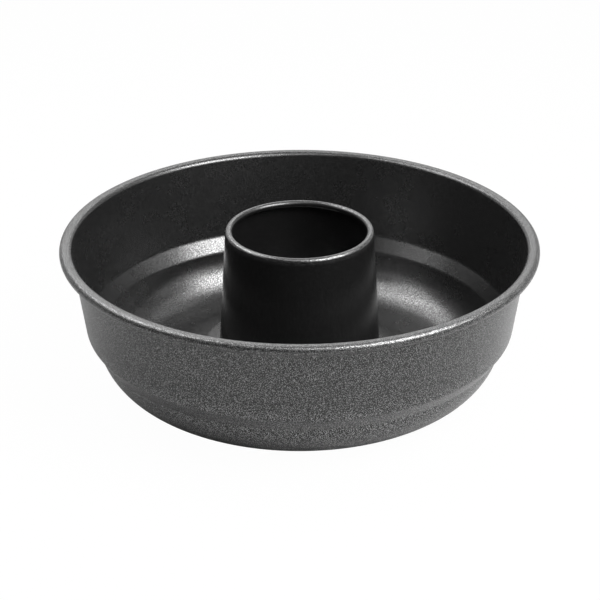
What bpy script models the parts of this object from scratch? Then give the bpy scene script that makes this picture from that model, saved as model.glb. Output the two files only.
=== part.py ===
"""Ring cake tin: a stepped sheet-steel pan with a rolled rim, and a centre tube hooked into its floor.

Each piece is one pressed sheet of even thickness, turned about the Z axis. Its profile is drawn on
the side that touches the cake, and Solidify gives the sheet its thickness on the other side.
The pan rests on a flat ring at Z = 0, with the origin at its middle.
"""
import math

import bpy
from mathutils import Vector

# The pan's outline, in metres
RIM_DIAMETER = 0.250
RIM_WIDTH = 0.0064
PAN_HEIGHT = 0.0778
SHEET = 0.0006
WALL_DRAFT = math.radians(7.75)

# The rolled rim
RIM_ROLL_RADIUS = 0.00245
RIM_ROLL_TURN = math.radians(270)
LIP_RADIUS = 0.0027

# The step in the wall and the rounded bottom below it
SHOULDER_DEPTH = 0.0457
SHOULDER_DROP = 0.0078
SHOULDER_DRAFT = math.radians(35)
SHOULDER_TOP_RADIUS = 0.0035
SHOULDER_FOOT_RADIUS = 0.0018
FOOT_DRAFT = math.radians(12.6)
BOTTOM_RADIUS = 0.0283

# The raised seat round the tube, which keeps the seam off the shelf
SEAT_RISE = 0.0134
SEAT_WIDTH = 0.0087
SEAT_EDGE_RADIUS = 0.0016
HUB_DRAFT = math.radians(30)
HUB_FOOT_RADIUS = 0.0050

# The centre tube
TUBE_TOP_RADIUS = 0.0389
TUBE_RISE = 0.0050
TUBE_DRAFT = math.radians(3.5)
TUBE_BEAD_RADIUS = 0.0016
TUBE_BEAD_TURN = math.radians(300)

# The hooked seam under the seat
SEAM_GAP = 0.0003
COLLAR_DEPTH = 0.0059
COLLAR_EDGE_RADIUS = 0.0012
HOLE_EDGE_RADIUS = 0.0015
SEAM_REACH = 0.0047
SEAM_RETURN = 0.0024

# How finely the round shapes are stepped
TURN_STEPS = 56
CHORD_ERROR = 0.0001
SMALLEST_STEP = 0.00005

COATING_COLOUR = (0.052, 0.052, 0.054, 1.0)
TUBE_COLOUR = (0.030, 0.030, 0.032, 1.0)


def clear_scene():
    for item in list(bpy.data.objects):
        bpy.data.objects.remove(item, do_unlink=True)


def coating(name, colour, roughness):
    """Baked non-stick coating over steel: dark, slightly metallic, satin."""
    material = bpy.data.materials.new(name)
    material.use_nodes = True
    shader = material.node_tree.nodes["Principled BSDF"]
    shader.inputs["Base Color"].default_value = colour
    shader.inputs["Metallic"].default_value = 0.35
    shader.inputs["Roughness"].default_value = roughness
    return material


def arc(centre, radius, start, turn):
    """Points on a circle in the (radius, height) plane, from angle start through a signed turn."""
    widest_step = 2 * math.acos(1 - min(CHORD_ERROR / radius, 0.5))
    count = max(1, math.ceil(abs(turn) / widest_step))
    angles = [start + turn * i / count for i in range(count + 1)]
    return [centre + Vector((math.cos(a), math.sin(a))) * radius for a in angles]


def rounded(corners):
    """A path through (point, radius) corners, each rounded by its radius.

    Where two neighbouring roundings need more than the straight between them has, both shrink to fit.
    """
    points = [Vector(point) for point, _ in corners]
    directions = [(b - a).normalized() for a, b in zip(points, points[1:])]
    turns = [before.angle_signed(after) * -1 for before, after in zip(directions, directions[1:])]
    cuts = [radius * math.tan(abs(turn) / 2) for turn, (_, radius) in zip(turns, corners[1:-1])]
    cuts = [0.0] + cuts + [0.0]
    room = [1.0] * len(points)
    for i, (a, b) in enumerate(zip(points, points[1:])):
        wanted = cuts[i] + cuts[i + 1]
        if wanted > (b - a).length:
            share = (b - a).length / wanted
            room[i] = min(room[i], share)
            room[i + 1] = min(room[i + 1], share)

    path = [points[0]]
    for i, turn in enumerate(turns, start=1):
        radius = corners[i][1] * room[i]
        before = directions[i - 1]
        side = Vector((-before.y, before.x)) * math.copysign(1, turn)
        start = points[i] - before * cuts[i] * room[i]
        centre = start + side * radius
        first = math.atan2(-side.y, -side.x)
        path += arc(centre, radius, first, turn)
    path.append(points[-1])
    return path[:1] + [b for a, b in zip(path, path[1:]) if (b - a).length > SMALLEST_STEP]


def tube_radius(height):
    """Outside radius of the tube's wall at a height: it widens evenly towards its foot."""
    bead_height = PAN_HEIGHT + TUBE_RISE - TUBE_BEAD_RADIUS
    return TUBE_TOP_RADIUS + (bead_height - height) * math.tan(TUBE_DRAFT)


SEAT_HEIGHT = SHEET + SEAT_RISE
COLLAR_FOOT = SEAT_HEIGHT - COLLAR_DEPTH
HOOK_RADIUS = tube_radius(COLLAR_FOOT) + SEAM_GAP + SEAM_REACH


def pan_profile():
    """The pan from the hooked edge of its centre hole, over the floor and up the wall, to the rim's roll."""
    hole_foot = tube_radius(COLLAR_FOOT) + SEAM_GAP
    hole_top = tube_radius(SEAT_HEIGHT) + SEAM_GAP
    seat_edge = hole_top + SEAT_WIDTH
    hub_foot = seat_edge + SEAT_RISE * math.tan(HUB_DRAFT)

    rim_radius = RIM_DIAMETER / 2
    wall_top = rim_radius - RIM_WIDTH
    shoulder_height = PAN_HEIGHT - SHOULDER_DEPTH
    shoulder_top = wall_top - SHOULDER_DEPTH * math.tan(WALL_DRAFT)
    foot_height = shoulder_height - SHOULDER_DROP
    shoulder_foot = shoulder_top - SHOULDER_DROP * math.tan(SHOULDER_DRAFT)
    wall_foot = shoulder_foot - (foot_height - SHEET) * math.tan(FOOT_DRAFT)

    roll_centre = Vector((rim_radius - RIM_ROLL_RADIUS, PAN_HEIGHT - RIM_ROLL_RADIUS))
    path = rounded([
        ((HOOK_RADIUS, COLLAR_FOOT), 0),
        ((hole_foot, COLLAR_FOOT), COLLAR_EDGE_RADIUS),
        ((hole_top, SEAT_HEIGHT), HOLE_EDGE_RADIUS),
        ((seat_edge, SEAT_HEIGHT), SEAT_EDGE_RADIUS),
        ((hub_foot, SHEET), HUB_FOOT_RADIUS),
        ((wall_foot, SHEET), BOTTOM_RADIUS),
        ((shoulder_foot, foot_height), SHOULDER_FOOT_RADIUS),
        ((shoulder_top, shoulder_height), SHOULDER_TOP_RADIUS),
        ((wall_top, PAN_HEIGHT), LIP_RADIUS),
        ((roll_centre.x, PAN_HEIGHT), 0),
    ])
    return path[:-1] + arc(roll_centre, RIM_ROLL_RADIUS, math.pi / 2, -RIM_ROLL_TURN)


def tube_profile():
    """The tube from the free end of its inward bead, over the top and down the wall, to the hooked foot."""
    bead_centre = Vector((TUBE_TOP_RADIUS - TUBE_BEAD_RADIUS, PAN_HEIGHT + TUBE_RISE - TUBE_BEAD_RADIUS))
    crown = math.pi / 2
    path = arc(bead_centre, TUBE_BEAD_RADIUS, TUBE_BEAD_TURN, crown - TUBE_BEAD_TURN)[:-1]
    path += arc(bead_centre, TUBE_BEAD_RADIUS, crown, -crown)

    lower_leaf = COLLAR_FOOT - SEAM_GAP
    upper_leaf = COLLAR_FOOT + SHEET + SEAM_GAP
    path += rounded([
        ((tube_radius(SEAT_HEIGHT), SEAT_HEIGHT), 0),
        ((tube_radius(lower_leaf), lower_leaf), COLLAR_EDGE_RADIUS + SEAM_GAP),
        ((HOOK_RADIUS, lower_leaf), 0),
    ])[:-1]
    fold_centre = Vector((HOOK_RADIUS, (lower_leaf + upper_leaf) / 2))
    path += arc(fold_centre, (upper_leaf - lower_leaf) / 2, -math.pi / 2, math.pi)
    path.append(Vector((HOOK_RADIUS - SEAM_RETURN, upper_leaf)))
    return path


def turned_sheet(name, profile, material, collection):
    """A sheet turned about Z from a profile on its finished side, and thickened behind it."""
    mesh = bpy.data.meshes.new(name)
    vertices = [(point.x, 0, point.y) for point in profile]
    edges = [(i, i + 1) for i in range(len(vertices) - 1)]
    mesh.from_pydata(vertices, edges, [])
    mesh.materials.append(material)
    sheet = bpy.data.objects.new(name, mesh)
    collection.objects.link(sheet)

    turn = sheet.modifiers.new("turn", "SCREW")
    turn.axis = "Z"
    turn.angle = math.tau
    turn.steps = TURN_STEPS
    turn.render_steps = TURN_STEPS
    turn.merge_threshold = SMALLEST_STEP
    turn.use_smooth_shade = True

    thicken = sheet.modifiers.new("thicken", "SOLIDIFY")
    thicken.thickness = SHEET
    thicken.offset = -1
    thicken.use_even_offset = True
    return sheet


def build():
    clear_scene()
    collection = bpy.data.collections.new("ring_cake_tin")
    bpy.context.scene.collection.children.link(collection)
    pan_coating = coating("pan_coating", COATING_COLOUR, 0.42)
    tube_coating = coating("tube_coating", TUBE_COLOUR, 0.38)
    turned_sheet("pan_body", pan_profile(), pan_coating, collection)
    turned_sheet("centre_tube", tube_profile(), tube_coating, collection)


build()
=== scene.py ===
# %% [markdown]
# # A ring cake tin
# The tin is two pieces of thin steel. One sheet is pressed into a round pan, and a second sheet is
# drawn into a tube and hooked into the pan's floor, so that heat reaches the middle of the cake.
# Both are sprayed with a dark, speckled non-stick coating.
#
# The imported solids give the size and place of everything. They are loaded first, and their box is
# kept and printed.

# %% Load the tin's solids
import math

import bpy
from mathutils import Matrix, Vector


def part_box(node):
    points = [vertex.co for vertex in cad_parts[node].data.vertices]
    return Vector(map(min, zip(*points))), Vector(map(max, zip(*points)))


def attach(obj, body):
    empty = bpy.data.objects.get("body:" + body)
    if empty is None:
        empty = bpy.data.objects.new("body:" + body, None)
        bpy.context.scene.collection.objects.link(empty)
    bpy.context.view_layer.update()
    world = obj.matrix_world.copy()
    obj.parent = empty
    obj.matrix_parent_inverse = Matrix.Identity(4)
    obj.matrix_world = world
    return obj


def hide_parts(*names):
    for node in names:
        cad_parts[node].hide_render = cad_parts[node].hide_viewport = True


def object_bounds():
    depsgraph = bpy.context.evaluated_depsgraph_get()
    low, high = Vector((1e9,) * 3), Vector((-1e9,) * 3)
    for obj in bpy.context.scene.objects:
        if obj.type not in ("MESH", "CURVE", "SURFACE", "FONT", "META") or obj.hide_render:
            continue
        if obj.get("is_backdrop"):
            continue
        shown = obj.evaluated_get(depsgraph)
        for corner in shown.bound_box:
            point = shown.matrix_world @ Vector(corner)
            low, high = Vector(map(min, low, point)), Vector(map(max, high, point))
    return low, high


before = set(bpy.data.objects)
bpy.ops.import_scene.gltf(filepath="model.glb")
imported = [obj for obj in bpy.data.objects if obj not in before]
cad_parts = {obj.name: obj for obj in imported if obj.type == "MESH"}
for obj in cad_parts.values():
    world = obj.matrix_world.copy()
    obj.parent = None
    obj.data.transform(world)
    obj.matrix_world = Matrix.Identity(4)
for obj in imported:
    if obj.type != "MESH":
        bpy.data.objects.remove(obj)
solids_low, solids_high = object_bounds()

MM = 0.001


def in_mm(values, digits=1):
    """Lengths in millimetres, rounded for printing."""
    return [round(value / MM, digits) for value in values]


print("the solids reach from", in_mm(solids_low), "to", in_mm(solids_high), "mm")
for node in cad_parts:
    low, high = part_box(node)
    print(node, "is", in_mm(b - a for a, b in zip(low, high)), "mm in size")

# %% [markdown]
# ## Where the photographer stood
# A round rim seen from above looks like an ellipse. How flat the ellipse is gives the angle that
# the camera looks down at, and how much bigger the near half is than the far half gives its
# distance. The tin was seen from about a metre away, a little over 26 degrees above the table. A
# long lens fills the frame with it from there.
#
# The tube's axis is a hair left of the middle. Moving the camera sideways would change the view, so
# the lens is shifted instead, which only slides the picture.

# %% Set up the camera
LOOK_DOWN = math.radians(26.285)
CAMERA_DISTANCE = 1.0
AIM_HEIGHT = 41.26 * MM
FILM_WIDTH = 36
LENS = 113.0
LENS_SHIFT = 0.0007
NEAREST_SEEN = 0.05

camera_data = bpy.data.cameras.new("camera")
camera_data.sensor_width = FILM_WIDTH
camera_data.lens = LENS
camera_data.shift_x = LENS_SHIFT
camera_data.clip_start = NEAREST_SEEN
camera = bpy.data.objects.new("camera", camera_data)
bpy.context.collection.objects.link(camera)
camera.location = (
    0,
    -CAMERA_DISTANCE * math.cos(LOOK_DOWN),
    AIM_HEIGHT + CAMERA_DISTANCE * math.sin(LOOK_DOWN),
)
camera.rotation_euler = (math.pi / 2 - LOOK_DOWN, 0, 0)
bpy.context.scene.camera = camera
print("the camera stands at", in_mm(camera.location), "mm")

# %% [markdown]
# ## The table
# The tin stands on a plain table that runs out of sight, so one big flat sheet does for it.
# Its top lies a hair below the tin. Two surfaces in exactly the same plane would show through each
# other in patches, and 0.05 mm is too little to be seen.

# %% Lay the table
TABLE_REACH = 3.0
TABLE_DROP = 0.05 * MM

signs = ((-1, -1), (1, -1), (1, 1), (-1, 1))
corners = [(x * TABLE_REACH, y * TABLE_REACH, -TABLE_DROP) for x, y in signs]
table_mesh = bpy.data.meshes.new("table")
table_mesh.from_pydata(corners, [], [(0, 1, 2, 3)])
table = bpy.data.objects.new("table", table_mesh)
bpy.context.collection.objects.link(table)
table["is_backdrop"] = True
print("the table is", 2 * TABLE_REACH, "m wide")

# %% [markdown]
# ## White to the camera alone
# The photograph is cut out on pure white, with no shadow and no edge to the table. A table that is
# lit until it looks pure white would be mirrored in the tin, and the tin would be far too light.
#
# So there are two whites. A ray that comes straight from the camera sees plain white paper. All
# other rays, which light the tin or are mirrored in it, see the real table and the real room.
# The Light Path node tells the two kinds of ray apart. The table and the room both need this, so
# it is a helper, and so is the step of feeding a socket from a node or with a plain number.

# %% Write the helpers for the cut-out background
WHITE = (1, 1, 1, 1)


def plug(tree, socket, value):
    """Feed a socket from another node's output, or set it to a plain value."""
    if isinstance(value, bpy.types.NodeSocket):
        tree.links.new(value, socket)
    else:
        socket.default_value = value


def white_to_camera(tree, real, paper, share, output):
    """Show the camera a share of white paper, and show all other rays the real surface."""
    seen = tree.nodes.new("ShaderNodeLightPath")
    shown = tree.nodes.new("ShaderNodeMath")
    shown.operation = "MULTIPLY"
    plug(tree, shown.inputs[0], seen.outputs["Is Camera Ray"])
    plug(tree, shown.inputs[1], share)
    either = tree.nodes.new("ShaderNodeMixShader")
    for socket, value in zip(either.inputs, (shown.outputs["Value"], real, paper)):
        plug(tree, socket, value)
    plug(tree, output.inputs["Surface"], either.outputs["Shader"])


print("the paper's white is", WHITE[:3])

# %% [markdown]
# ## The table's paint
# The outer wall leans out as it rises, so from above it mirrors the table in front of the tin. With
# the table painted black for a test, the outer wall lost eight or nine tenths of its light. So the
# table's grey was chosen by how light it makes the wall, and not by its own looks.
# The paint is matt, because a glossy table would mirror the lamps.

# %% Paint the table
TABLE_GREY = (0.40, 0.40, 0.40, 1)
TABLE_ROUGHNESS = 0.9
TABLE_PAPER_SHARE = 0.98

table_paint = bpy.data.materials.new("table_white")
table_paint.use_nodes = True
tree = table_paint.node_tree
matt = tree.nodes["Principled BSDF"]
matt.inputs["Base Color"].default_value = TABLE_GREY
matt.inputs["Roughness"].default_value = TABLE_ROUGHNESS
paper = tree.nodes.new("ShaderNodeEmission")
paper.inputs["Color"].default_value = WHITE
white_to_camera(
    tree,
    real=matt.outputs["BSDF"],
    paper=paper.outputs["Emission"],
    share=TABLE_PAPER_SHARE,
    output=tree.nodes["Material Output"],
)
table_mesh.materials.append(table_paint)
print("the table's paint has", len(tree.nodes), "nodes")

# %% [markdown]
# ## The room
# The rims curve up and back, so they mirror what is behind the tin. A pale wall there gives the
# sides of the rolled rim nearly a third of their light, and the side of the tube's curl nearly
# half. The rest of the room is a dim studio, which hardly shows.
#
# A real wall could be built, but a soft change of brightness over the sky dome gives the same
# reflections with nothing to place. Generated coordinates give the direction that a ray leaves in:
# Y points at the wall and Z points up. The wall is brightest low down.

# %% Shape the room's glow
WALL_GLOW, WALL_TOP_GLOW, STUDIO_GLOW = 1.0, 0.5, 0.06
WALL_EDGE, WALL_MIDDLE = -0.1, 0.6
WALL_LOW, WALL_HIGH = 0.1, 0.6


def spread(tree, value, low, high, to_low=0.0, to_high=1.0, easing="LINEAR"):
    """Stretch a value so that low becomes to_low and high to_high, and hold it beyond them."""
    node = tree.nodes.new("ShaderNodeMapRange")
    node.interpolation_type = easing
    plug(tree, node.inputs["Value"], value)
    limits = {"From Min": low, "From Max": high, "To Min": to_low, "To Max": to_high}
    for socket, limit in limits.items():
        plug(tree, node.inputs[socket], limit)
    return node.outputs["Result"]


room = bpy.data.worlds.new("room")
bpy.context.scene.world = room
room.use_nodes = True
tree = room.node_tree
direction = tree.nodes.new("ShaderNodeTexCoord")
heading = tree.nodes.new("ShaderNodeSeparateXYZ")
plug(tree, heading.inputs["Vector"], direction.outputs["Generated"])
towards_wall, upward = heading.outputs["Y"], heading.outputs["Z"]
wall = spread(tree, upward, WALL_LOW, WALL_HIGH, WALL_GLOW, WALL_TOP_GLOW, "SMOOTHSTEP")
glow = spread(tree, towards_wall, WALL_EDGE, WALL_MIDDLE, STUDIO_GLOW, wall, "SMOOTHSTEP")
print("the room glows from", STUDIO_GLOW, "in the studio to", WALL_GLOW, "at the foot of the wall")

# %% Light the room
sky = tree.nodes["Background"]
sky.inputs["Color"].default_value = WHITE
plug(tree, sky.inputs["Strength"], glow)
paper = tree.nodes.new("ShaderNodeBackground")
paper.inputs["Color"].default_value = WHITE
white_to_camera(
    tree,
    real=sky.outputs["Background"],
    paper=paper.outputs["Background"],
    share=1.0,
    output=tree.nodes["World Output"],
)
bpy.context.scene.view_settings.view_transform = "Standard"
print("the room has", len(tree.nodes), "nodes")

# %% [markdown]
# ## Softboxes
# Every bright patch on the tin is a lamp's reflection, so the patches tell where the lamps hung.
# For each patch, the direction to the camera was mirrored in the metal there, and a lamp was hung
# in that direction. An area lamp is Blender's softbox: its face has a size, so its reflection has
# one.
#
# Blender asks for an area lamp's power. A bigger face with the same power is dimmer, so the helper
# takes how bright the face should look and works out the power.

# %% Write a helper that hangs a softbox
LAMP_DISTANCE = 0.75


def hang_lamp(name, azimuth, elevation, width, height, glow, distance=LAMP_DISTANCE):
    """A soft lamp that faces the tin from a compass angle and an angle above the table.

    An azimuth of 0 is +X, to the right of the tin, and 90 is behind it.
    """
    across, up = math.radians(azimuth), math.radians(elevation)
    level = math.cos(up)
    place = Vector((level * math.cos(across), level * math.sin(across), math.sin(up))) * distance
    lamp_data = bpy.data.lights.new(name, "AREA")
    lamp_data.shape = "RECTANGLE"
    lamp_data.size = width
    lamp_data.size_y = height
    lamp_data.energy = glow * math.pi * width * height
    lamp = bpy.data.objects.new(name, lamp_data)
    bpy.context.collection.objects.link(lamp)
    lamp.location = place
    lamp.rotation_euler = (-place).to_track_quat("-Z", "Y").to_euler()
    print(name, "hangs at", in_mm(place, 0), "mm")


print("lamps hang", LAMP_DISTANCE, "m from the tin unless told otherwise")

# %% [markdown]
# ## The main lamp
# One lamp at the front right does most of the work. It makes the white band on the step to the left
# of the tube, the glow in the bottom below it and the streak on the front of the rim. It also gives
# the right side of the outer wall about half of its light, most of it by way of the table.
#
# The patches fade out softly at their ends, which a single hard-edged lamp can't do. So a bigger
# and much dimmer lamp hangs behind it, like the light that a softbox spills round its edges.

# %% Hang the main lamp
SPILL_DISTANCE = 0.80

hang_lamp("softbox_key", azimuth=-34, elevation=50, width=0.42, height=0.36, glow=16.6)
hang_lamp(
    "spill_round_key", azimuth=-42, elevation=47, width=0.80, height=0.80, glow=2.5,
    distance=SPILL_DISTANCE,
)

# %% [markdown]
# ## The lamps at the right and above
# The glow in the bottom goes on towards the front of the tin, and the band on the step fades slowly
# towards the left. Two small lamps further round to the right each add about a fifth of the light
# there. A large weak lamp almost overhead brightens the front of the rim and of the tube's curl.

# %% Hang the lamps at the right and above
hang_lamp("softbox_side", azimuth=2, elevation=60, width=0.26, height=0.26, glow=6)
hang_lamp("fill_side", azimuth=-5, elevation=29, width=0.50, height=0.18, glow=1.5)
hang_lamp("softbox_over", azimuth=-78, elevation=75, width=0.50, height=0.60, glow=1.9)

# %% [markdown]
# ## The lamps at the left
# To the right of the tube there is a second, softer glow in the bottom, and the tube's right edge
# is a little lighter than its middle. Both mirror a weaker lamp at the left. A lower one beside it
# gives the grey band on the step nearly half of its light.

# %% Hang the lamps at the left
hang_lamp("softbox_left", azimuth=164, elevation=57, width=0.42, height=0.44, glow=5.8)
hang_lamp("fill_left", azimuth=190, elevation=38, width=0.40, height=0.22, glow=1.3)

# %% [markdown]
# ## The lamps at the back
# The rim's sides and its far edge mirror what is behind the tin, and a wide low lamp there gives
# them a third to a half of their light. The two smaller ones beside it are mirrored in the bottom,
# further to the front than the two glows.

# %% Hang the lamps at the back
hang_lamp("softbox_back", azimuth=100, elevation=38, width=0.80, height=0.28, glow=2.4)
hang_lamp("fill_back_left", azimuth=132, elevation=52, width=0.36, height=0.30, glow=4.4)
hang_lamp("fill_back_right", azimuth=36, elevation=50, width=0.40, height=0.28, glow=1.4)

# %% [markdown]
# ## A line with rounded corners
# Both pieces are thin sheet turned about one axis, as on a spinning lathe. So each is drawn as half
# of its cross-section, a line of points in the (radius, height) plane, and then spun round.
#
# Pressed steel has no sharp corner anywhere, because the metal would crack there. So the line is
# drawn as a few corners that each have a radius. A bevel on the finished mesh could round them too,
# but here every radius can be set by itself and measured.

# %% Write the helpers that draw a line
CHORD_ERROR = 0.008 * MM


def arc(centre, radius, start, turn):
    """Points on a circle, from the angle start through a signed turn."""
    widest_step = 2 * math.acos(1 - CHORD_ERROR / radius)
    count = math.ceil(abs(turn) / widest_step)
    angles = [start + turn * i / count for i in range(count + 1)]
    return [centre + Vector((math.cos(a), math.sin(a))) * radius for a in angles]


def rounded(corners):
    """A line through (point, radius) corners, each rounded by its radius."""
    points = [Vector(point) for point, _ in corners]
    line = [points[0]]
    for before, (_, radius), corner, after in zip(points, corners[1:], points[1:], points[2:]):
        arriving = (corner - before).normalized()
        turn = -arriving.angle_signed((after - corner).normalized())
        side = Vector((-arriving.y, arriving.x)) * math.copysign(1, turn)
        start = corner - arriving * radius * math.tan(abs(turn) / 2)
        line += arc(start + side * radius, radius, math.atan2(-side.y, -side.x), turn)
    return line + [points[-1]]


right_angle = rounded([((0, 0), 0), ((10 * MM, 0), 5 * MM), ((10 * MM, 10 * MM), 0)])
print("a right angle that is rounded by 5 mm becomes", len(right_angle) - 2, "points")

# %% [markdown]
# ## A sheet with thickness
# The line that is drawn is the sheet's finished side. The other side follows it one sheet's
# thickness behind, and a small half circle closes each raw edge.
#
# A Solidify modifier could add the thickness, but it leaves the raw edges square. Drawing both
# sides as one closed outline lets the edges be round, as they are once the coating covers them.

# %% Write the helpers that follow a line
SHEET = 0.6 * MM
SMALLEST_STEP = 0.004 * MM


def spaced(line):
    """The same line without points that fall on top of each other."""
    return line[:1] + [b for a, b in zip(line, line[1:]) if (b - a).length > SMALLEST_STEP]


def back_of(line):
    """The line one sheet's thickness to the right of another."""
    steps = [(b - a).normalized() for a, b in zip(line, line[1:])]
    behind = []
    for point, before, after in zip(line, [steps[0]] + steps, steps + [steps[-1]]):
        middle = (before + after).normalized()
        right = Vector((middle.y, -middle.x))
        behind.append(point + right * SHEET / middle.dot(before))
    return behind


print("the sheet is", SHEET / MM, "mm thick")

# %% Write the helpers that close an outline
def round_edge(near, far):
    """The half circle that closes a raw edge, without its two ends."""
    middle = (near + far) / 2
    start = math.atan2(near.y - middle.y, near.x - middle.x)
    return arc(middle, SHEET / 2, start, -math.pi)[1:-1]


def sheet_outline(line):
    """A sheet's closed outline: along its finished side and back behind it, with round edges."""
    front = spaced(line)
    behind = back_of(front)
    first_edge = round_edge(behind[0], front[0])
    last_edge = round_edge(front[-1], behind[-1])
    return front + last_edge + behind[::-1] + first_edge


sample_edge = round_edge(Vector((0, SHEET)), Vector((0, 0)))
print("a raw edge is rounded by", len(sample_edge), "points")

# %% [markdown]
# ## The lathe
# A Screw modifier with no rise spins an outline into a solid ring. It is a better lathe than a loop
# of one's own, because it also sets smooth shading and closes the seam where the turn ends.
# More steps make a rounder tin and a heavier mesh. With 180 of them, no flat shows on the rim.

# %% Write a helper that spins an outline
TURN_STEPS = 180


def spin(name, outline):
    """Turn a closed outline about the tin's axis with a Screw modifier."""
    count = len(outline)
    vertices = [(point.x, 0, point.y) for point in outline]
    edges = [(i, (i + 1) % count) for i in range(count)]
    mesh = bpy.data.meshes.new(name)
    mesh.from_pydata(vertices, edges, [])
    piece = bpy.data.objects.new(name, mesh)
    bpy.context.collection.objects.link(piece)

    turn = piece.modifiers.new("turn", "SCREW")
    turn.axis = "Z"
    turn.angle = math.tau
    turn.steps = TURN_STEPS
    turn.render_steps = TURN_STEPS
    turn.merge_threshold = SMALLEST_STEP
    turn.use_smooth_shade = True
    print(name, "has", count, "points round its outline")
    print(name, "reaches", in_mm([max(point.x for point in outline)], 2), "mm from the axis")
    return piece


flatness = 1 - math.cos(math.pi / TURN_STEPS)
print(f"the middle of a step lies {flatness:.4%} of the radius inside the true circle")

# %% [markdown]
# ## The tube's taper
# The tube is a slight cone, wider at its foot so that the cake slides off. Its radius at any height
# is needed twice: for the tube, and for the hole in the pan that it passes through. A function for
# it keeps the two a seam's gap apart, whatever the taper is.

# %% Measure the tube's taper
PAN_HEIGHT = 77.8 * MM
TUBE_RISE = 5.0 * MM
CURL_RADIUS = 1.9 * MM
TUBE_TOP_RADIUS = 38.9 * MM
TUBE_DRAFT = math.radians(3.5)
SEAT_HEIGHT = 14.0 * MM
CURL_HEIGHT = PAN_HEIGHT + TUBE_RISE - CURL_RADIUS


def tube_radius(height):
    """Outside radius of the tube's wall at a height."""
    return TUBE_TOP_RADIUS + (CURL_HEIGHT - height) * math.tan(TUBE_DRAFT)


tube_ends = in_mm([TUBE_TOP_RADIUS, tube_radius(SEAT_HEIGHT)])
print("the tube's radius is", tube_ends, "mm at its top and at the seat")

# %% [markdown]
# ## Where the two sheets are folded together
# Under the seat, the pan's edge turns out from the tube, and the tube's foot is folded back over
# it. That is how such tins are joined without solder or rivets. Only its heights and its reach are
# measured here, because both lines use them.
#
# The seam can't be seen in the photograph, so its sizes are those of an ordinary folded seam. The
# real one is squeezed shut, and a small gap between the leaves keeps the two surfaces from running
# into each other.

# %% Measure the folded seam
SEAM_GAP = 0.3 * MM
COLLAR_DEPTH = 5.9 * MM
SEAM_REACH = 4.7 * MM
COLLAR_FOOT = SEAT_HEIGHT - COLLAR_DEPTH
HOOK_RADIUS = tube_radius(COLLAR_FOOT) + SEAM_GAP + SEAM_REACH
print("the seam reaches", in_mm([HOOK_RADIUS]), "mm from the axis")
print("it lies", in_mm([COLLAR_FOOT]), "mm above the table")

# %% [markdown]
# ## The pan's heights and widths
# The wall leans out in three straight parts: a steep foot, a step that leans much more, and the
# drafted wall above it. Each part is given by its height and its lean, as a toolmaker would, and
# its radius follows by adding up from the rim inward. If the rim were made wider, all would follow.

# %% Measure the pan's wall
RIM_RADIUS = 125.0 * MM
RIM_WIDTH = 6.4 * MM
STEP_DEPTH = 45.7 * MM
STEP_DROP = 7.8 * MM
WALL_DRAFT = math.radians(7.75)
STEP_DRAFT = math.radians(35)
FOOT_DRAFT = math.radians(12.6)

wall_top = RIM_RADIUS - RIM_WIDTH
step_height = PAN_HEIGHT - STEP_DEPTH
foot_height = step_height - STEP_DROP
step_top = wall_top - STEP_DEPTH * math.tan(WALL_DRAFT)
step_foot = step_top - STEP_DROP * math.tan(STEP_DRAFT)
wall_foot = step_foot - (foot_height - SHEET) * math.tan(FOOT_DRAFT)
print("the radii of the wall's corners:", in_mm([wall_top, step_top, step_foot, wall_foot]), "mm")

# %% [markdown]
# ## The raised seat
# The middle of the floor is pressed up into a seat round the tube, with a sloping hub below it. It
# lifts the seam off the shelf that the tin stands on, so that the tin doesn't rock on it.
# The seat is measured outward from the tube's hole.

# %% Measure the seat
SEAT_WIDTH = 8.7 * MM
HUB_DRAFT = math.radians(30)

hole_top = tube_radius(SEAT_HEIGHT) + SEAM_GAP
seat_edge = hole_top + SEAT_WIDTH
hub_foot = seat_edge + (SEAT_HEIGHT - SHEET) * math.tan(HUB_DRAFT)
print("the radii of the seat's corners:", in_mm([hole_top, seat_edge, hub_foot]), "mm")

# %% [markdown]
# ## The pan's line
# From the middle outward, the line starts at the edge that is hooked into the seam. It goes up the
# collar round the tube, over the raised seat, down the hub into the trough and up the rounded
# bottom. Then come the foot, the step and the wall. It ends in the rolled rim, which hides the
# sheet's sharp edge and makes the tin stiff. The rim is rolled on until it nearly meets the wall,
# which takes three quarters of a turn.

# %% Draw and spin the pan
COLLAR_EDGE_RADIUS = 1.2 * MM
HOLE_EDGE_RADIUS = 1.5 * MM
SEAT_EDGE_RADIUS = 1.6 * MM
HUB_FOOT_RADIUS = 5.0 * MM
BOTTOM_RADIUS = 28.3 * MM
STEP_FOOT_RADIUS = 5.0 * MM
STEP_TOP_RADIUS = 4.5 * MM
LIP_RADIUS = 2.7 * MM
ROLL_RADIUS = 2.45 * MM
ROLL_TURN = math.radians(270)

roll_centre = Vector((RIM_RADIUS - ROLL_RADIUS, PAN_HEIGHT - ROLL_RADIUS))
pan_line = rounded([
    ((HOOK_RADIUS, COLLAR_FOOT), 0),
    ((tube_radius(COLLAR_FOOT) + SEAM_GAP, COLLAR_FOOT), COLLAR_EDGE_RADIUS),
    ((hole_top, SEAT_HEIGHT), HOLE_EDGE_RADIUS),
    ((seat_edge, SEAT_HEIGHT), SEAT_EDGE_RADIUS),
    ((hub_foot, SHEET), HUB_FOOT_RADIUS),
    ((wall_foot, SHEET), BOTTOM_RADIUS),
    ((step_foot, foot_height), STEP_FOOT_RADIUS),
    ((step_top, step_height), STEP_TOP_RADIUS),
    ((wall_top, PAN_HEIGHT), LIP_RADIUS),
    ((roll_centre.x, PAN_HEIGHT), 0),
])
pan_line += arc(roll_centre, ROLL_RADIUS, math.pi / 2, -ROLL_TURN)
pan = spin("speckled_pan", sheet_outline(pan_line))

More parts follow.
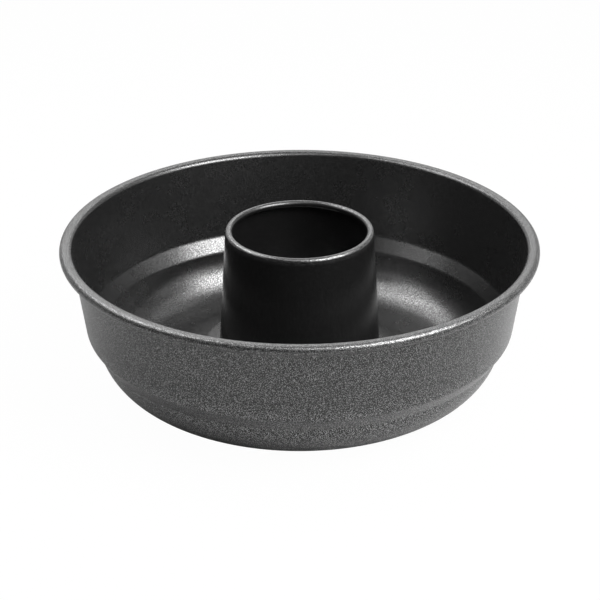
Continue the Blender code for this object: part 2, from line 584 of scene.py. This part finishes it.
# %% [markdown]
# ## The tube's line
# The line starts inside the curl at the tube's top, goes over the curl and down the outside. The
# curl does for the tube what the roll does for the rim. At the foot the line turns out under the
# seat, and then folds back above the pan's hooked edge. The tube's corner under the seat is rounded
# by a gap's width more than the pan's, so that the two stay the same distance apart round it.

# %% Draw and spin the tube
CURL_TURN = math.radians(300)
SEAM_RETURN = 2.4 * MM

curl_centre = Vector((TUBE_TOP_RADIUS - CURL_RADIUS, CURL_HEIGHT))
lower_leaf = COLLAR_FOOT - SEAM_GAP
upper_leaf = COLLAR_FOOT + SHEET + SEAM_GAP
fold_centre = Vector((HOOK_RADIUS, (lower_leaf + upper_leaf) / 2))

tube_line = arc(curl_centre, CURL_RADIUS, CURL_TURN, -CURL_TURN)
tube_line += rounded([
    ((tube_radius(SEAT_HEIGHT), SEAT_HEIGHT), 0),
    ((tube_radius(lower_leaf), lower_leaf), COLLAR_EDGE_RADIUS + SEAM_GAP),
    ((HOOK_RADIUS, lower_leaf), 0),
])
tube_line += arc(fold_centre, (upper_leaf - lower_leaf) / 2, -math.pi / 2, math.pi)
tube_line.append(Vector((HOOK_RADIUS - SEAM_RETURN, upper_leaf)))
tube = spin("dark_tube", sheet_outline(tube_line))

# %% [markdown]
# ## The grain of the coating
# The coating is a dark paint full of fine metal flakes, baked hard. Close up it is a grain of
# lighter and darker specks, each about half a millimetre across. A picture of a real coating could
# be wrapped on, but it would have to be unwrapped and would show a seam. A noise texture needs
# neither. It reads object coordinates, so the specks are the same size everywhere and stay put when
# the tin moves.

# %% Write the helpers for the grain
FLAKE_SCALE = 2200
CLOUD_ROUGHNESS = 0.6


def cloud(tree, scale, detail=1):
    """A noise fixed to the object."""
    here = tree.nodes.new("ShaderNodeTexCoord")
    node = tree.nodes.new("ShaderNodeTexNoise")
    plug(tree, node.inputs["Vector"], here.outputs["Object"])
    for socket, value in (("Scale", scale), ("Detail", detail), ("Roughness", CLOUD_ROUGHNESS)):
        plug(tree, node.inputs[socket], value)
    return node.outputs["Fac"]


def blend(tree, share, first, second):
    """Go from the first value to the second as share goes from 0 to 1."""
    node = tree.nodes.new("ShaderNodeMix")
    for socket, value in (("Factor", share), ("A", first), ("B", second)):
        plug(tree, node.inputs[socket], value)
    return node.outputs["Result"]


print("the flake noise changes about every", round(1 / FLAKE_SCALE / MM, 2), "mm")

# %% [markdown]
# ## The two sides of the sheet
# The inside of such a tin is sprayed smooth so that the cake lets go, and the outside is duller and
# more speckled. Both sides are one mesh here, so the material has to tell them apart.
#
# Imagine a ring that floats in the trough. The pan's inner side faces that ring everywhere, and its
# outer side and its rolled rim face away from it. So the dot product of the way from the ring to a
# point with the surface's normal there is below zero inside and above zero outside.
# For the tube, the ring shrinks to a point on the axis. Then the outside is the side that touches
# the cake, and the top of the curl with it.

# %% Write the helpers that tell the sides apart
RING_HEIGHT = 60 * MM
SIDE_CHANGE = 2 * MM


def vector_step(tree, operation, first, second=None):
    """One step of vector arithmetic."""
    node = tree.nodes.new("ShaderNodeVectorMath")
    node.operation = operation
    plug(tree, node.inputs[0], first)
    if second is not None:
        plug(tree, node.inputs["Scale" if operation == "SCALE" else 1], second)
    return node.outputs["Value" if operation == "DOT_PRODUCT" else "Vector"]


def faces_out(tree, ring_radius):
    """1 on the side that faces away from a ring about the axis, and 0 on the side facing it."""
    here = tree.nodes.new("ShaderNodeTexCoord")
    level = vector_step(tree, "MULTIPLY", here.outputs["Object"], (1, 1, 0))
    outward = vector_step(tree, "NORMALIZE", level)
    ring = vector_step(tree, "SCALE", outward, ring_radius)
    ring = vector_step(tree, "ADD", ring, (0, 0, RING_HEIGHT))
    from_ring = vector_step(tree, "SUBTRACT", here.outputs["Object"], ring)
    facing = vector_step(tree, "DOT_PRODUCT", from_ring, here.outputs["Normal"])
    return spread(tree, facing, -SIDE_CHANGE, SIDE_CHANGE)


print("the ring floats", in_mm([RING_HEIGHT]), "mm above the table")

# %% [markdown]
# ## Paint, flakes and gloss
# The coating's light is nearly all mirrored light. If it were mixed from black and grey paint, the
# tin's dark inside would turn milky under the lamps, because paint scatters light to all sides. So
# the coating is made almost all metal, and its grey only says how much of the light comes back.
#
# Two more noises finish it. One lets the gloss drift a little in soft patches, as sprayed paint
# does. The other tilts the surface from speck to speck, which breaks the edges of the reflections
# into sparkles.

# %% Write the helpers for the coating
PAINT_GREY = 0.032
PATCH_SCALE, PATCH_DETAIL, PATCH_DRIFT = 60, 4, 0.03
TILT_SCALE, TILT_DEPTH = 1300, 0.1 * MM


def drifting_gloss(tree, roughness):
    """A roughness that goes up and down a little in patches."""
    patches = cloud(tree, PATCH_SCALE, PATCH_DETAIL)
    return spread(tree, patches, 0, 1, roughness - PATCH_DRIFT, roughness + PATCH_DRIFT)


def finish_coating(tree, flakes, flake_grey, metal, roughness, tilt):
    """Join paint, flakes, gloss and tilt to the material's shader."""
    shader = tree.nodes["Principled BSDF"]
    plug(tree, shader.inputs["Base Color"], blend(tree, flakes, PAINT_GREY, flake_grey))
    plug(tree, shader.inputs["Metallic"], metal)
    plug(tree, shader.inputs["Roughness"], roughness)
    bump = tree.nodes.new("ShaderNodeBump")
    bumps = cloud(tree, TILT_SCALE)
    for socket, value in (("Strength", tilt), ("Distance", TILT_DEPTH), ("Height", bumps)):
        plug(tree, bump.inputs[socket], value)
    plug(tree, shader.inputs["Normal"], bump.outputs["Normal"])


print("bare paint sends back", PAINT_GREY, "of the light")

# %% [markdown]
# ## Where a lighter grey is painted on
# On the lowest part of the outer wall and on top of the tube's curl, the coating is lighter.
# Low on the wall the lighter grey is painted light for the bright table that the wall mirrors near
# its foot, and on the curl it is a painted highlight. A mask could be painted for each place. But
# both are places at one height all the way round, so the height above the table marks them with
# nothing to paint.

# %% Write a helper for what changes with height
# Heights of the painted light low on the pan's outer wall.
FOOT_PAINTED_LIGHT_STARTS, FOOT_PAINTED_LIGHT_FULL = 40 * MM, 26 * MM
# Heights of the painted highlight on top of the tube's curl.
CURL_PAINTED_HIGHLIGHT_STARTS, CURL_PAINTED_HIGHLIGHT_FULL = 79.3 * MM, 80.3 * MM


def by_height(tree, starts, full):
    """0 up to the height where something starts, and 1 from the height where it is full."""
    here = tree.nodes.new("ShaderNodeTexCoord")
    height = tree.nodes.new("ShaderNodeSeparateXYZ")
    plug(tree, height.inputs["Vector"], here.outputs["Object"])
    return spread(tree, height.outputs["Z"], starts, full)


# Below this height the outer wall's lighter grey is painted light for the mirrored table.
print("more flake lies below", in_mm([FOOT_PAINTED_LIGHT_STARTS]), "mm on the pan's outer side")
# Above this height the tube's lighter grey is a painted highlight on the curl.
print("and above", in_mm([CURL_PAINTED_HIGHLIGHT_STARTS]), "mm on the tube")

# %% [markdown]
# ## The pan's coating
# Inside, the flakes are dim and the surface is fairly glossy. Outside, they are brighter, with
# crisper edges. Below the step the outside is painted lighter still: painted light for the bright
# table that it mirrors there. The outside is also duller and a little less metallic. It scatters
# some of the main lamp's light, which lightens its right side a little.

# %% Coat the pan
TROUGH_RADIUS = 85 * MM
INNER_FLAKE, OUTER_FLAKE, FOOT_PAINTED_LIGHT_GREY = 0.11, 0.205, 0.35
INNER_SPECKS, OUTER_SPECKS = (0.46, 0.62), (0.53, 0.60)
INNER_METAL, OUTER_METAL = 0.88, 0.78
INNER_ROUGHNESS, OUTER_ROUGHNESS = 0.27, 0.35
PAN_TILT = 0.10

pan_coating = bpy.data.materials.new("pan_coating")
pan_coating.use_nodes = True
tree = pan_coating.node_tree
outside = faces_out(tree, TROUGH_RADIUS)
specks = cloud(tree, FLAKE_SCALE)
inner_flakes = spread(tree, specks, *INNER_SPECKS)
outer_flakes = spread(tree, specks, *OUTER_SPECKS)
# foot marks the low outer wall, where the lighter grey is painted light for the table mirrored
# there.
foot = by_height(tree, FOOT_PAINTED_LIGHT_STARTS, FOOT_PAINTED_LIGHT_FULL)
inner_gloss = drifting_gloss(tree, INNER_ROUGHNESS)
outer_gloss = drifting_gloss(tree, OUTER_ROUGHNESS)
finish_coating(
    tree,
    flakes=blend(tree, outside, inner_flakes, outer_flakes),
    flake_grey=blend(tree, outside, INNER_FLAKE, blend(tree, foot, OUTER_FLAKE, FOOT_PAINTED_LIGHT_GREY)),
    metal=blend(tree, outside, INNER_METAL, OUTER_METAL),
    roughness=blend(tree, outside, inner_gloss, outer_gloss),
    tilt=PAN_TILT,
)
print("the pan's coating has", len(tree.nodes), "nodes")

# %% [markdown]
# ## The tube's coating
# The tube is darker and smoother than the pan, with hardly any flake on its wall. Along the top of
# the curl a light grey is painted on, a painted highlight. One number for the metal is enough here,
# so it is set straight on the shader.

# %% Coat the tube
TUBE_FLAKE, CURL_PAINTED_HIGHLIGHT_GREY = 0.075, 0.27
TUBE_SPECKS = (0.45, 0.75)
TUBE_METAL = INNER_METAL
TUBE_ROUGHNESS = 0.26
TUBE_TILT = 0.09

tube_coating = bpy.data.materials.new("tube_coating")
tube_coating.use_nodes = True
tree = tube_coating.node_tree
outside = faces_out(tree, ring_radius=0)
# curl marks the top of the tube's curl, where the light grey is a painted highlight.
curl = by_height(tree, CURL_PAINTED_HIGHLIGHT_STARTS, CURL_PAINTED_HIGHLIGHT_FULL)
finish_coating(
    tree,
    flakes=spread(tree, cloud(tree, FLAKE_SCALE), *TUBE_SPECKS),
    flake_grey=blend(tree, outside, TUBE_FLAKE, blend(tree, curl, TUBE_FLAKE, CURL_PAINTED_HIGHLIGHT_GREY)),
    metal=TUBE_METAL,
    roughness=drifting_gloss(tree, TUBE_ROUGHNESS),
    tilt=TUBE_TILT,
)
print("the tube's coating has", len(tree.nodes), "nodes")

# %% [markdown]
# ## In place of the solids
# The solids stay in the model for the physics, hidden behind these finer pieces. Both pieces ride
# on the one body that the tin has, because nothing on it moves.

# %% Dress the solids
dressing = (
    (pan, "pan_body", "pan_coating", pan_coating),
    (tube, "centre_tube", "tube_coating", tube_coating),
)
for piece, node, slot, coating in dressing:
    piece.data.materials.append(coating)
    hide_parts(node)
    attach(piece, "root")
    print(piece.name, "stands for", node)

# %% [markdown]
# ## The two boxes
# The box of the finer pieces is printed here, as the solids' box was at the start.

# %% Compare the two boxes
dressed_low, dressed_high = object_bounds()
print("the dressed tin reaches from", in_mm(dressed_low, 2), "to", in_mm(dressed_high, 2), "mm")
